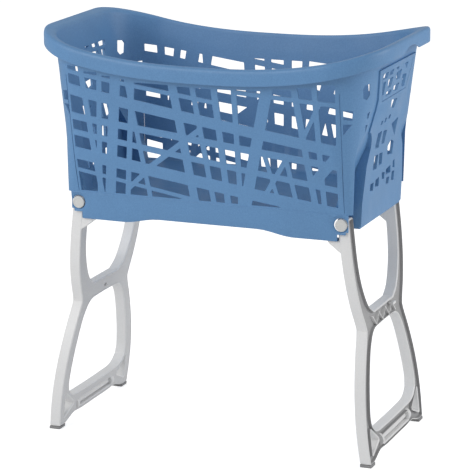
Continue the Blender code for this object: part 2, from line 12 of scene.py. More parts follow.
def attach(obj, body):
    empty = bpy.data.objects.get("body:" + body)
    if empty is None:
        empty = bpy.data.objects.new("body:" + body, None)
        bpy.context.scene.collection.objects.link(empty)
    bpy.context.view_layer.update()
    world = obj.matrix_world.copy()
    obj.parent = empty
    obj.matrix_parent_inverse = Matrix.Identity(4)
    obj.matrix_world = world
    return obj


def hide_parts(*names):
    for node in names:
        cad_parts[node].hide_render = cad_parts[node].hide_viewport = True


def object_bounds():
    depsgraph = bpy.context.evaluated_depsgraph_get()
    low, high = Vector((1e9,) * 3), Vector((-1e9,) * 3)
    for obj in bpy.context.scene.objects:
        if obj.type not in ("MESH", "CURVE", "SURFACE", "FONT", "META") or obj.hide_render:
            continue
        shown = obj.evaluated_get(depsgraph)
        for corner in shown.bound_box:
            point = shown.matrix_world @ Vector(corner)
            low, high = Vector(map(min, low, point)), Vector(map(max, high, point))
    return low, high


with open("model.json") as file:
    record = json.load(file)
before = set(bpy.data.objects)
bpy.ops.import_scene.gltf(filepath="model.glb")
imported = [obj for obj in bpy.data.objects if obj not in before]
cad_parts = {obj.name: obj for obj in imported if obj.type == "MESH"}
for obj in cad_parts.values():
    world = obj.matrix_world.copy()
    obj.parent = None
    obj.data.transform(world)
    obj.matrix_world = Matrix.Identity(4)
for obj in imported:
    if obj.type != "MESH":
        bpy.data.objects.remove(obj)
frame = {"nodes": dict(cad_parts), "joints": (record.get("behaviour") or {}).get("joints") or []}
cad_low, cad_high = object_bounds()
pin_place = {joint["child"]: joint["pos_m"] for joint in frame["joints"]}

# Basket, heights measured up from the pin axis
PIN_HALF_SPACING = pin_place["right_leg"][0]
PIN_HEIGHT = pin_place["right_leg"][2]
LENGTH = cad_high.x - cad_low.x
WIDTH = cad_high.y - cad_low.y
RIM_END_RISE = 0.3207
RIM_MIDDLE_RISE = 0.274
RIM_CURVE = 2.55
RIM_BAND = 0.0285
RIM_RADIUS = 0.105
WALL = 0.0026
BASE_HALF_LENGTH = 0.2765
BASE_HALF_WIDTH = 0.1515
END_FLARE = 0.055
END_FLARE_TOP = 0.090
FLARE_START = 0.130
SIDE_FLARE = 0.165
BASE_RADIUS = 0.009
LOW_RADIUS = 0.016         # corner radius at the foot of the lattice
FLARE_RADIUS = 0.048       # at FLARE_START
WALL_RADIUS = 0.085        # under the rim
WALL_BEND = 0.118          # where the bend into the flared part begins
HOLD_HALF = 0.047
HOLD_RISE = 0.011
FUNNEL = 0.030
MOUTH_END = 0.024
MOUTH_SIDE = 0.012
SIDE_BOW = 0.006
FLOOR_UNDERSIDE = 0.018
SKIRT_DROP = 0.030
SKIRT_ARCH = 0.010
END_DROP = 0.012
SKIRT_WALL = 0.003
SKIRT_STEP = 0.0008        # the skirt stands this far proud of the wall
LATTICE_BOTTOM = 0.024
PLATE = 0.003              # the end plates stand this far proud of the wall
CHAMFER = 0.0007           # along the window edges

# Hinges
PIN_RADIUS = 0.004
CAP_RADIUS = 0.0112
CAP_THICK = 0.003
CAP_SEAT = 0.1475
CHEEK = 0.003
GAP = 0.0004
SIDE_PLAY = 0.001
FOLD_LEAN = math.radians(18.0)
CHANNEL_DEPTH = 0.018

# Leg frames
SPLAY = math.radians(6.7)
RAIL_OUTER = 0.1445
RAIL_WIDTH = 0.0280
RAIL_TOP = 0.010
DEPTH_IN = 0.0085
DEPTH_OUT = 0.0125
FOOT_PAD = 0.005
GRIP_RADIUS = 0.006
GRIP_HALF = 0.075
GRIP_DROP = 0.411
EDGE = 0.0017              # rounding of the frame's long edges
HOLLOW = 0.0055            # depth of the hollow on the outboard face
GROOVE = 0.0008            # depth of the panel on the inboard face
RIB_PITCH = 0.0185         # zigzag rib in the waist
RIB_LOW, RIB_HIGH = -0.2045, -0.1845
RIB_WIDTH = 0.0017

LONG_STEPS = 40
CORNER_STEPS = 14
END_STEPS = 20

# Lattice bars of a long wall: start x, start z, end x, end z, width
LONG_BARS = [
    (-0.2310, 0.261, -0.2060, 0.036, 0.0102), (-0.1930, 0.253, -0.2030, 0.099, 0.0093),
    (-0.1590, 0.260, -0.1880, 0.020, 0.0185), (-0.1260, 0.260, -0.1530, 0.020, 0.0093),
    (-0.1350, 0.211, -0.1080, 0.020, 0.0083), (-0.0520, 0.250, -0.0210, 0.020, 0.0148),
    (-0.0140, 0.250, 0.0160, 0.017, 0.0093), (0.0280, 0.250, 0.0430, 0.019, 0.0111),
    (0.0660, 0.250, 0.0670, 0.021, 0.0093), (0.1300, 0.250, 0.0760, 0.022, 0.0194),
    (0.1260, 0.216, 0.1530, 0.128, 0.0074), (0.1750, 0.260, 0.2090, 0.026, 0.0111),
    (0.2130, 0.260, 0.2250, 0.028, 0.0093),
    (-0.2610, 0.248, 0.0490, 0.208, 0.0074), (0.0770, 0.232, 0.2430, 0.220, 0.0074),
    (-0.2710, 0.217, 0.2390, 0.138, 0.0185), (-0.2600, 0.166, 0.2600, 0.107, 0.0120),
    (-0.2600, 0.136, 0.2600, 0.063, 0.0102), (-0.2600, 0.097, 0.2600, 0.019, 0.0204),
    (-0.2480, 0.064, -0.0590, 0.031, 0.0065), (-0.1490, 0.037, -0.0920, 0.090, 0.0083),
    (-0.0920, 0.090, 0.0010, 0.161, 0.0093), (0.1750, 0.038, 0.2580, 0.135, 0.0167),
    (0.1160, 0.047, 0.1540, 0.110, 0.0083), (0.1190, 0.112, 0.1370, 0.045, 0.0074),
    (0.1590, 0.105, 0.1690, 0.054, 0.0083), (0.2010, 0.177, 0.2280, 0.232, 0.0074),
]

# Windows of an end wall as outlines of y, z: the framed field at the top, one below it, and the low rows
END_WINDOWS = [
    [(-0.082, 0.262), (-0.052, 0.262), (-0.055, 0.252), (-0.080, 0.252)],
    [(-0.044, 0.262), (-0.022, 0.262), (-0.026, 0.254), (-0.046, 0.254)],
    [(-0.012, 0.262), (0.008, 0.262), (0.006, 0.256)],
    [(0.040, 0.262), (0.062, 0.262), (0.058, 0.250)],
    [(-0.076, 0.246), (-0.060, 0.246), (-0.062, 0.222), (-0.070, 0.222)],
    [(-0.046, 0.246), (-0.020, 0.248), (-0.024, 0.231), (-0.044, 0.231)],
    [(0.000, 0.252), (0.028, 0.254), (0.024, 0.238), (0.001, 0.238)],
    [(0.038, 0.242), (0.062, 0.240), (0.060, 0.218), (0.042, 0.219)],
    [(-0.047, 0.224), (-0.018, 0.224), (-0.020, 0.217), (-0.046, 0.217)],
    [(-0.006, 0.228), (0.024, 0.230), (0.019, 0.217), (-0.005, 0.219)],
    [(-0.004, 0.202), (0.028, 0.200), (0.018, 0.184), (-0.002, 0.188)],
    [(-0.046, 0.170), (-0.036, 0.171), (-0.039, 0.164), (-0.049, 0.163)],
    [(-0.026, 0.172), (-0.016, 0.173), (-0.020, 0.165), (-0.029, 0.164)],
    [(-0.005, 0.173), (0.006, 0.175), (0.003, 0.168), (-0.007, 0.167)],
    [(0.020, 0.154), (0.056, 0.160), (0.050, 0.127)],
    [(-0.056, 0.150), (-0.033, 0.151), (-0.041, 0.122), (-0.061, 0.123)],
    [(-0.023, 0.149), (-0.002, 0.147), (-0.009, 0.124), (-0.026, 0.125)],
    [(0.014, 0.114), (0.031, 0.122), (0.047, 0.117), (0.044, 0.094), (0.014, 0.098)],
    [(-0.060, 0.110), (-0.040, 0.109), (-0.045, 0.084), (-0.067, 0.085)],
    [(-0.034, 0.109), (-0.015, 0.108), (-0.016, 0.087), (-0.033, 0.087)],
    [(0.014, 0.071), (0.038, 0.074), (0.041, 0.060), (0.012, 0.061)],
    [(0.052, 0.078), (0.061, 0.081), (0.064, 0.064), (0.052, 0.067)],
    [(-0.075, 0.061), (-0.056, 0.061), (-0.058, 0.046), (-0.075, 0.049)],
    [(-0.046, 0.063), (-0.026, 0.065), (-0.026, 0.048), (-0.047, 0.051)],
    [(-0.012, 0.070), (0.006, 0.067), (0.005, 0.055), (-0.008, 0.057)],
    [(0.018, 0.054), (0.035, 0.053), (0.032, 0.041), (0.017, 0.043)],
    [(0.049, 0.059), (0.064, 0.059), (0.063, 0.041), (0.048, 0.043)],
]

# Windows of a rounded corner as outlines of turn in degrees from the long side, z
CORNER_WINDOWS = [
    [(58, 0.246), (61, 0.252), (70, 0.253), (74, 0.233), (69, 0.225), (61, 0.228)],
    [(30, 0.210), (46, 0.208), (46, 0.191), (31, 0.193)],
    [(30, 0.185), (46, 0.184), (31, 0.165)],
    [(77, 0.199), (84, 0.202), (83, 0.190), (78, 0.190)],
    [(77, 0.179), (85, 0.178), (82, 0.163)],
]


# ---- Meshes -------------------------------------------------------------------------------
def new_mesh(name, verts, faces):
    mesh = bpy.data.meshes.new(name)
    mesh.from_pydata([tuple(v) for v in verts], [], faces)
    shape = bmesh.new()
    shape.from_mesh(mesh)
    bmesh.ops.recalc_face_normals(shape, faces=shape.faces)
    shape.to_mesh(mesh)
    shape.free()
    obj = bpy.data.objects.new(name, mesh)
    bpy.context.scene.collection.objects.link(obj)
    return obj


def combine(target, tool, operation="DIFFERENCE"):
    """Boolean that is applied at once; the tool is used up."""
    modifier = target.modifiers.new("combine", "BOOLEAN")
    modifier.operation = operation
    modifier.solver = "MANIFOLD"
    modifier.object = tool
    graph = bpy.context.evaluated_depsgraph_get()
    made = bpy.data.meshes.new_from_object(target.evaluated_get(graph))
    target.modifiers.clear()
    old = target.data
    target.data = made
    bpy.data.meshes.remove(old)
    bpy.data.objects.remove(tool, do_unlink=True)


def smooth(obj, angle=34):
    obj.data.shade_smooth()
    obj.data.set_sharp_from_angle(angle=math.radians(angle))


def across(base, count):
    """Faces that close a basket ring front to back, so that a saddle-shaped end stays ruled."""
    right = LONG_STEPS + CORNER_STEPS - 1
    left = right + count // 2
    faces = [tuple(base + start + i for i in range(END_STEPS + 3)) for start in (right, left)]
    for k in range(left + END_STEPS + 2, count + right):
        far = [(count // 2 + LONG_STEPS - i) % count for i in (k, k + 1)]
        faces.append((base + k % count, base + (k + 1) % count, base + far[1], base + far[0]))
    return faces


def loft(name, rings, ruled=False):
    """Closed solid through rings of equal length, capped at both ends."""
    count = len(rings[0])
    last = (len(rings) - 1) * count
    if ruled:
        faces = across(0, count) + across(last, count)
    else:
        faces = [tuple(range(count)), tuple(range(last, last + count))]
    for lower in range(len(rings) - 1):
        for i in range(count):
            a, b = lower * count + i, lower * count + (i + 1) % count
            faces.append((a, b, b + count, a + count))
    return new_mesh(name, [point for ring in rings for point in ring], faces)


def prisms(name, outlines, place, levels=((0, 0.0), (1, 0.0))):
    """One mesh of separate prisms. Each level is (depth, growth); place(u, v, depth) gives x, y, z."""
    verts, faces = [], []
    for outline in outlines:
        base, count = len(verts), len(outline)
        for depth, growth in levels:
            verts += [place(u, v, depth) for u, v in grown(outline, growth)]
        top = base + (len(levels) - 1) * count
        faces.append(tuple(base + i for i in range(count)))
        faces.append(tuple(top + i for i in range(count)))
        for k in range(len(levels) - 1):
            for i in range(count):
                a, b = base + k * count + i, base + k * count + (i + 1) % count
                faces.append((a, b, b + count, a + count))
    return new_mesh(name, verts, faces)


def turned(name, x, z, profile, hollow=False, steps=48):
    """Solid of revolution about a line along Y; profile lists y and radius from one end to the other."""
    rings = []
    for y, radius in profile:
        turn = [2 * math.pi * i / steps for i in range(steps)]
        rings.append([(x + radius * math.cos(t), y, z + radius * math.sin(t)) for t in turn])
    if not hollow:
        return loft(name, rings)
    faces = []
    for k in range(len(rings)):
        after = (k + 1) % len(rings)
        for i in range(steps):
            j = (i + 1) % steps
            faces.append((k * steps + i, k * steps + j, after * steps + j, after * steps + i))
    return new_mesh(name, [point for ring in rings for point in ring], faces)


# ---- Flat outlines ------------------------------------------------------------------------
def signed_area(polygon):
    total = 0.0
    for i, (u0, v0) in enumerate(polygon):
        u1, v1 = polygon[(i + 1) % len(polygon)]
        total += u0 * v1 - u1 * v0
    return total / 2


def grown(outline, amount):
    """Outline with every side moved outward by amount."""
    if amount == 0.0:
        return list(outline)
    way = 1.0 if signed_area(outline) > 0 else -1.0
    moved = []
    for i, (u, v) in enumerate(outline):
        before, after = outline[i - 1], outline[(i + 1) % len(outline)]
        into = Vector((u - before[0], v - before[1])).normalized()
        out = Vector((after[0] - u, after[1] - v)).normalized()
        n0, n1 = Vector((into.y, -into.x)), Vector((out.y, -out.x))
        reach = way * amount / max(1.0 + n0.dot(n1), 0.35)
        moved.append((u + reach * (n0.x + n1.x), v + reach * (n0.y + n1.y)))
    return moved


def rounded(outline, radius, steps=3):
    """Outline whose corners are replaced by short curves."""
    points = []
    for i, corner in enumerate(outline):
        c = Vector(corner)
        before = Vector(outline[i - 1]) - c
        after = Vector(outline[(i + 1) % len(outline)]) - c
        bend = math.pi - before.angle(after, math.pi)
        if bend < 0.3:
            points.append(corner)
            continue
        cut = radius * math.tan(bend / 2)
        start = c + before.normalized() * min(cut, 0.42 * before.length)
        end = c + after.normalized() * min(cut, 0.42 * after.length)
        for k in range(steps + 1):
            t = k / steps
            points.append(tuple(start * (1 - t) ** 2 + c * 2 * t * (1 - t) + end * t * t))
    return points


def curved(outline, steps=4, corner=0.5):
    """Outline with a smooth curve through its points, which keeps every bend sharper than corner."""
    count = len(outline)
    points = [Vector(p) for p in outline]
    sharp = []
    for i in range(count):
        before, after = points[i] - points[i - 1], points[(i + 1) % count] - points[i]
        sharp.append(before.angle(after, 0.0) > corner)
    made = []
    for i in range(count):
        p1, p2 = points[i], points[(i + 1) % count]
        p0 = p1 * 2 - p2 if sharp[i] else points[i - 1]
        p3 = p2 * 2 - p1 if sharp[(i + 1) % count] else points[(i + 2) % count]
        span = (p2 - p1).length
        m1 = (p2 - p0) / max((p2 - p1).length + (p1 - p0).length, 1e-9) * span
        m2 = (p3 - p1) / max((p3 - p2).length + (p2 - p1).length, 1e-9) * span
        straight = sharp[i] and sharp[(i + 1) % count]
        for k in range(1 if straight else steps):
            t = k / steps
            made.append(tuple(p1 * (2 * t ** 3 - 3 * t * t + 1) + m1 * (t ** 3 - 2 * t * t + t)
                              + p2 * (3 * t * t - 2 * t ** 3) + m2 * (t ** 3 - t * t)))
    return made


def clip(polygon, nx, nz, limit):
    """Part of a convex polygon where nx * u + nz * v <= limit."""
    kept = []
    for i, (u0, v0) in enumerate(polygon):
        u1, v1 = polygon[(i + 1) % len(polygon)]
        d0, d1 = nx * u0 + nz * v0 - limit, nx * u1 + nz * v1 - limit
        if d0 <= 0:
            kept.append((u0, v0))
        if d0 * d1 < 0:
            t = d0 / (d0 - d1)
            kept.append((u0 + t * (u1 - u0), v0 + t * (v1 - v0)))
    return kept


def windows(panel, bars, smallest):
    """Openings left in a convex panel between straight bars; a bar splits only what it runs through."""
    cells = [panel]
    for u0, v0, u1, v1, width in bars:
        length = math.hypot(u1 - u0, v1 - v0)
        du, dv = (u1 - u0) / length, (v1 - v0) / length
        middle = -dv * u0 + du * v0
        start, end = du * u0 + dv * v0, du * u1 + dv * v1
        split = []
        for cell in cells:
            along = [du * u + dv * v for u, v in cell]
            inside = min(max(along), end) - max(min(along), start)
            if inside < 0.5 * (max(along) - min(along)):
                split.append(cell)
                continue
            split.append(clip(cell, -dv, du, middle - width / 2))
            split.append(clip(cell, dv, -du, -middle - width / 2))
        cells = [cell for cell in split if len(cell) > 2 and abs(signed_area(cell)) > smallest]
    return cells


def line_strip(points, width):
    """Thin closed outline along an open line of points."""
    left, right = [], []
    for i, p in enumerate(points):
        ahead = Vector(points[min(i + 1, len(points) - 1)]) - Vector(points[max(i - 1, 0)])
        side = Vector((-ahead.y, ahead.x)).normalized() * width / 2
        left.append((p[0] + side.x, p[1] + side.y))
        right.append((p[0] - side.x, p[1] - side.y))
    return left + right[::-1]


def spaced(a, b, steps):
    """Points along the line from a to b, ends included."""
    return [(a[0] + (b[0] - a[0]) * i / steps, a[1] + (b[1] - a[1]) * i / steps) for i in range(steps + 1)]


# ---- The basket's surfaces ----------------------------------------------------------------
def plan(half_length, half_width, radius, bow):
    """Rounded rectangle whose long sides swell by bow, anticlockwise from the front left corner."""
    reach = half_length - radius
    side = half_width - bow
    points = []
    for sign in (-1, 1):
        for i in range(LONG_STEPS):
            x = reach * (2 * i / LONG_STEPS - 1)
            points.append((-sign * x, sign * (side + bow * (1 - (x / reach) ** 2))))
        for i in range(CORNER_STEPS):
            t = math.pi / 2 * i / CORNER_STEPS
            points.append((-sign * (reach + radius * math.sin(t)),
                           sign * (side - radius + radius * math.cos(t))))
        for i in range(END_STEPS):
            y = (side - radius) * (1 - 2 * i / END_STEPS)
            points.append((-sign * half_length, sign * y))
        for i in range(CORNER_STEPS):
            t = math.pi / 2 * i / CORNER_STEPS
            points.append((-sign * (reach + radius * math.cos(t)),
                           -sign * (side - radius + radius * math.sin(t))))
    return points


def rim_rise(x):
    share = min(abs(x) / (LENGTH / 2), 1.0)
    return RIM_MIDDLE_RISE + (RIM_END_RISE - RIM_MIDDLE_RISE) * share ** RIM_CURVE


def wall_half_length(z):
    return BASE_HALF_LENGTH + END_FLARE * max(z, 0.0) + END_FLARE_TOP * max(z - FLARE_START, 0.0)


def wall_half_width(z):
    return BASE_HALF_WIDTH + SIDE_FLARE * max(z, 0.0)


def wall_radius(z):
    if z < LATTICE_BOTTOM:
        return BASE_RADIUS + (LOW_RADIUS - BASE_RADIUS) * max(z, 0.0) / LATTICE_BOTTOM
    share = (z - LATTICE_BOTTOM) / (FLARE_START - LATTICE_BOTTOM)
    return LOW_RADIUS + (FLARE_RADIUS - LOW_RADIUS) * share


def section(x, z):
    """Half length, half width, corner radius and bow of the wall's outside at height z near x."""
    if z <= FLARE_START:
        return wall_half_length(z), wall_half_width(z), wall_radius(z), SIDE_BOW / 2
    share = (z - FLARE_START) / (rim_rise(x) - FUNNEL - FLARE_START)
    low = section(x, FLARE_START)
    high = (wall_half_length(RIM_END_RISE - FUNNEL), wall_half_width(RIM_MIDDLE_RISE - FUNNEL),
            WALL_RADIUS, SIDE_BOW)
    return tuple(a + (b - a) * share for a, b in zip(low, high))


def front_reach(x, z):
    """Distance of the wall's outside from the middle plane, at x along a long side."""
    half_length, half_width, radius, bow = section(x, z)
    reach, side = half_length - radius, half_width - bow
    if abs(x) <= reach:
        return side + bow * (1 - (x / reach) ** 2)
    return side - radius + math.sqrt(max(radius ** 2 - (abs(x) - reach) ** 2, 0.0))


def end_reach(y, z):
    """Distance of the wall's outside from the cross plane, at y along an end."""
    half_length, half_width, radius, bow = section(0.3, z)
    past = abs(y) - (half_width - bow - radius)
    if past <= 0:
        return half_length
    return half_length - radius + math.sqrt(max(radius ** 2 - past ** 2, 0.0))


def corner_place(t, z, depth):
    """Point depth outside a rounded corner, at turn t in degrees from the long side."""
    half_length, half_width, radius, bow = section(0.27, z)
    t = math.radians(t)
    return (half_length - radius + (radius + depth) * math.sin(t),
            half_width - bow - radius + (radius + depth) * math.cos(t), z)


def flat_ring(z, inset, radius, out=0.0):
    half_length, half_width = wall_half_length(z) - inset + out, wall_half_width(z) - inset + out
    return [(x, y, PIN_HEIGHT + z) for x, y in plan(half_length, half_width, radius, SIDE_BOW * 0.5)]


def skirt_ring(inset, lift=0.0):
    """Ring along the skirt edge, which arches up between the corners of the long sides."""
    ring = []
    for x, y, _ in flat_ring(-SKIRT_DROP, inset, max(BASE_RADIUS - inset, 0.004)):
        share = min(max((0.165 - abs(x)) / 0.07, 0.0), 1.0)
        arch = SKIRT_ARCH * share * share * (3 - 2 * share)
        ring.append((x, y, PIN_HEIGHT - SKIRT_DROP + arch + lift))
    return ring


def top_ring(length_inset, width_inset, radius, drop):
    """Ring that follows the saddle of the rim, drop below its top."""
    outline = plan(LENGTH / 2 - length_inset, WIDTH / 2 - width_inset, radius, SIDE_BOW)
    return [(x, y, PIN_HEIGHT + rim_rise(x) - drop) for x, y in outline]


def band_ring(inset, drop):
    """Ring round the rim band, raised at the middle of each end as a hand hold."""
    ring = []
    for x, y, z in top_ring(inset, inset, RIM_RADIUS - inset, drop):
        at_end = abs(x) > LENGTH / 2 - inset - 0.001
        rise = HOLD_RISE * max(0.0, 1 - (y / HOLD_HALF) ** 2) * max(0.0, (drop - 0.012) / (RIM_BAND - 0.012))
        ring.append((x, y, z + at_end * rise))
    return ring


def wall_top_ring(inset, drop):
    half_length = wall_half_length(RIM_END_RISE - drop) - inset
    half_width = wall_half_width(RIM_MIDDLE_RISE - drop) - inset
    outline = plan(half_length, half_width, WALL_RADIUS - inset, SIDE_BOW)
    return [(x, y, PIN_HEIGHT + rim_rise(x) - drop) for x, y in outline]


def between(low, high, share):
    return [tuple(a + (b - a) * share for a, b in zip(p, q)) for p, q in zip(low, high)]


# ---- Materials ----------------------------------------------------------------------------
def plastic(name, colour, roughness, mottle=0.05, grain=0.00006, grain_scale=1400.0, scuff=0.0):
    """Moulded plastic: faint flow mottling, spark-eroded grain, gloss that varies, and light scuffs."""
    material = bpy.data.materials.new(name)
    material.use_nodes = True
    tree = material.node_tree
    nodes, links = tree.nodes, tree.links
    shader = nodes["Principled BSDF"]
    shader.inputs["IOR"].default_value = 1.5
    place = nodes.new("ShaderNodeTexCoord")

    def noise(scale, detail, distortion=0.0):
        node = nodes.new("ShaderNodeTexNoise")
        node.inputs["Scale"].default_value = scale
        node.inputs["Detail"].default_value = detail
        node.inputs["Distortion"].default_value = distortion
        links.new(place.outputs["Object"], node.inputs["Vector"])
        return node.outputs["Fac"]

    def ramp(source, stops):
        node = nodes.new("ShaderNodeValToRGB")
        links.new(source, node.inputs["Fac"])
        node.color_ramp.elements[0].position = stops[0][0]
        node.color_ramp.elements[0].color = stops[0][1]
        node.color_ramp.elements[1].position = stops[1][0]
        node.color_ramp.elements[1].color = stops[1][1]
        return node.outputs["Color"]

    dark = tuple(c * (1 - mottle) for c in colour) + (1.0,)
    light = tuple(min(c * (1 + mottle), 1.0) for c in colour) + (1.0,)
    flow = ramp(noise(7.0, 3.0, 0.6), ((0.30, dark), (0.70, light)))
    speck = ramp(noise(420.0, 2.0), ((0.35, (0.0,) * 3 + (1.0,)), (0.75, (1.0,) * 4)))
    blend = nodes.new("ShaderNodeMix")
    blend.data_type = "RGBA"
    blend.blend_type = "SOFT_LIGHT"
    blend.inputs["Factor"].default_value = 0.10
    links.new(flow, blend.inputs["A"])
    links.new(speck, blend.inputs["B"])
    links.new(blend.outputs["Result"], shader.inputs["Base Color"])

    gloss = nodes.new("ShaderNodeMapRange")
    gloss.inputs["From Min"].default_value = 0.3
    gloss.inputs["From Max"].default_value = 0.7
    gloss.inputs["To Min"].default_value = roughness - 0.05
    gloss.inputs["To Max"].default_value = roughness + 0.07
    links.new(noise(22.0, 5.0, 0.3), gloss.inputs["Value"])
    links.new(gloss.outputs["Result"], shader.inputs["Roughness"])

    fine = nodes.new("ShaderNodeBump")
    fine.inputs["Strength"].default_value = 0.35
    fine.inputs["Distance"].default_value = grain
    links.new(noise(grain_scale, 2.0), fine.inputs["Height"])
    if scuff:
        broad = nodes.new("ShaderNodeBump")
        broad.inputs["Strength"].default_value = 0.4
        broad.inputs["Distance"].default_value = scuff
        links.new(noise(38.0, 3.0, 1.2), broad.inputs["Height"])
        links.new(broad.outputs["Normal"], fine.inputs["Normal"])
    links.new(fine.outputs["Normal"], shader.inputs["Normal"])
    return material


BLUE = plastic("basket_plastic", (0.112, 0.262, 0.490), 0.46, mottle=0.035, scuff=0.00010)
WHITE = plastic("leg_plastic_smooth", (0.77, 0.77, 0.77), 0.38, mottle=0.012, scuff=0.00008)
# Painted shade: this darker grey on the wall and floor of the outboard hollow stands in for the shade inside it.
HOLLOW_SHADE = plastic("leg_plastic_painted_hollow_shade", (0.36, 0.36, 0.365), 0.55, mottle=0.04, grain=0.00009)
# Painted shade: this paler grey on the sunk inboard panel and the thin strips along the recess edges stands in
# for the shade on those faces.
RECESS_SHADE = plastic("leg_plastic_painted_recess_shade", (0.62, 0.62, 0.625), 0.48, mottle=0.02)
CAP = plastic("pin_plastic_pale", (0.62, 0.63, 0.62), 0.42, mottle=0.02)
PAD = plastic("foot_rubber_grain", (0.27, 0.27, 0.275), 0.75, mottle=0.06, grain=0.00014, grain_scale=900.0)

# ---- Camera and light ---------------------------------------------------------------------
CAMERA_AZIMUTH = math.radians(21.27)
CAMERA_ELEVATION = math.radians(13.88)
CAMERA_DISTANCE = 4.6665
AIM = Vector((-0.0046, 0.0, 0.3661))
back = Vector((math.sin(CAMERA_AZIMUTH) * math.cos(CAMERA_ELEVATION),
               -math.cos(CAMERA_AZIMUTH) * math.cos(CAMERA_ELEVATION), math.sin(CAMERA_ELEVATION)))
camera_data = bpy.data.cameras.new("camera")
camera_data.sensor_width = 36.0
camera_data.lens = 192.5
camera = bpy.data.objects.new("camera", camera_data)
bpy.context.scene.collection.objects.link(camera)
camera.location = AIM + back * CAMERA_DISTANCE
camera.rotation_mode = "QUATERNION"
camera.rotation_quaternion = (-back).to_track_quat("-Z", "Y")
bpy.context.scene.camera = camera


def area_light(name, place, aim, size, power, colour=(1.0, 1.0, 1.0)):
    data = bpy.data.lights.new(name, "AREA")
    data.shape = "SQUARE"
    data.size = size
    data.energy = power
    data.color = colour
    light = bpy.data.objects.new(name, data)
    bpy.context.scene.collection.objects.link(light)
    light.location = place
    light.rotation_mode = "QUATERNION"
    light.rotation_quaternion = (Vector(aim) - Vector(place)).to_track_quat("-Z", "Y")


def white_in_view(tree, socket, unseen, seen):
    """Strength of a background surface: unseen for the light it gives, seen where the camera sees it."""
    path = tree.nodes.new("ShaderNodeLightPath")
    choice = tree.nodes.new("ShaderNodeMapRange")
    choice.inputs["To Min"].default_value = unseen
    choice.inputs["To Max"].default_value = seen
    tree.links.new(path.outputs["Is Camera Ray"], choice.inputs["Value"])
    tree.links.new(choice.outputs["Result"], socket)


area_light("key", (-1.9, -2.6, 2.3), (0, 0, 0.45), 1.8, 49.0)
area_light("side", (3.0, 0.9, 1.5), (0, 0, 0.45), 1.6, 34.0)
world = bpy.data.worlds.new("studio")
world.use_nodes = True
world.node_tree.nodes["Background"].inputs["Color"].default_value = (1.0, 1.0, 1.0, 1.0)
white_in_view(world.node_tree, world.node_tree.nodes["Background"].inputs["Strength"], 0.54, 1.05)
bpy.context.scene.world = world
bpy.context.scene.view_settings.view_transform = "Standard"

floor = new_mesh("floor", [(-40, -40, -0.0002), (40, -40, -0.0002), (40, 40, -0.0002), (-40, 40, -0.0002)],
                 [(0, 1, 2, 3)])
floor_material = bpy.data.materials.new("floor_pale")
floor_material.use_nodes = True
floor_shader = floor_material.node_tree.nodes["Principled BSDF"]
floor_shader.inputs["Base Color"].default_value = (0.95, 0.95, 0.95, 1.0)
floor_shader.inputs["Roughness"].default_value = 0.9
floor_shader.inputs["Specular IOR Level"].default_value = 0.1
floor_shader.inputs["Emission Color"].default_value = (1.0, 1.0, 1.0, 1.0)
white_in_view(floor_material.node_tree, floor_shader.inputs["Emission Strength"], 0.0, 0.55)
floor.data.materials.append(floor_material)

# ---- Basket -------------------------------------------------------------------------------
def mouth_ring(end_out, side_out, drop):
    """Ring round the mouth, moved outward at the ends and along the sides, drop below the rim top."""
    return top_ring(MOUTH_END - end_out, MOUTH_SIDE - side_out, RIM_RADIUS - MOUTH_SIDE, drop)


low = flat_ring(FLARE_START, 0.0, FLARE_RADIUS)
high = wall_top_ring(0.0, FUNNEL)
funnel_top = mouth_ring(WALL, WALL, 1.6 * WALL)
basket = loft("basket_shell", [
    skirt_ring(0.0014),
    skirt_ring(0.0003, 0.0009),
    skirt_ring(-SKIRT_STEP, 0.0030),
    flat_ring(0.0, 0.0, BASE_RADIUS, SKIRT_STEP),
    flat_ring(0.0195, 0.0, 0.0147, SKIRT_STEP),
    flat_ring(0.0204, 0.0, 0.0149),
    flat_ring(LATTICE_BOTTOM, 0.0, LOW_RADIUS),
    flat_ring(0.075, 0.0, wall_radius(0.075)),
    flat_ring(WALL_BEND, 0.0, wall_radius(WALL_BEND)),
    between(low, high, 0.09),
    between(low, high, 0.5),
    between(low, high, 0.93),
    between(high, funnel_top, 0.10),
    funnel_top,
    top_ring(WALL + 0.001, WALL + 0.001, RIM_RADIUS - WALL, 1.6 * WALL),
    top_ring(WALL, WALL, RIM_RADIUS - WALL, 1.6 * WALL + 0.001),
    band_ring(WALL, RIM_BAND),
    band_ring(WALL - 0.0006, RIM_BAND + 0.0005),
    band_ring(0.0006, RIM_BAND + 0.0005),
    band_ring(0.0, RIM_BAND - 0.0003),
    band_ring(0.0, 0.018),
    top_ring(0.0, 0.0, RIM_RADIUS, 0.0085),
    top_ring(0.0005, 0.0005, RIM_RADIUS - 0.0005, 0.0056),
    top_ring(0.0017, 0.0015, RIM_RADIUS - 0.0015, 0.0030),
    top_ring(0.0035, 0.0030, RIM_RADIUS - 0.0030, 0.0012),
    top_ring(0.0060, 0.0050, RIM_RADIUS - 0.0050, 0.0003),
    top_ring(0.0085, 0.0066, RIM_RADIUS - 0.0066, 0.0),
    top_ring(0.0105, 0.0075, RIM_RADIUS - 0.0075, 0.0),
], ruled=True)

low = flat_ring(FLARE_START, WALL, FLARE_RADIUS - WALL)
high = wall_top_ring(WALL, FUNNEL)
cavity = loft("cavity", [
    flat_ring(FLOOR_UNDERSIDE + WALL, WALL + 0.006, 0.012),
    flat_ring(FLOOR_UNDERSIDE + WALL + 0.0014, WALL + 0.0022, 0.013),
    flat_ring(FLOOR_UNDERSIDE + WALL + 0.005, WALL, 0.014),
    flat_ring(WALL_BEND, WALL, wall_radius(WALL_BEND) - WALL),
    between(low, high, 0.09),
    between(low, high, 0.93),
    between(high, mouth_ring(0.0, 0.0, 0.0022), 0.1),
    mouth_ring(0.0, 0.0, 0.0060),
    mouth_ring(0.0008, 0.0005, 0.0030),
    mouth_ring(0.0036, 0.0018, 0.0006),
    mouth_ring(0.0070, 0.0030, -0.0006),
    mouth_ring(0.0070, 0.0030, -0.012),
], ruled=True)

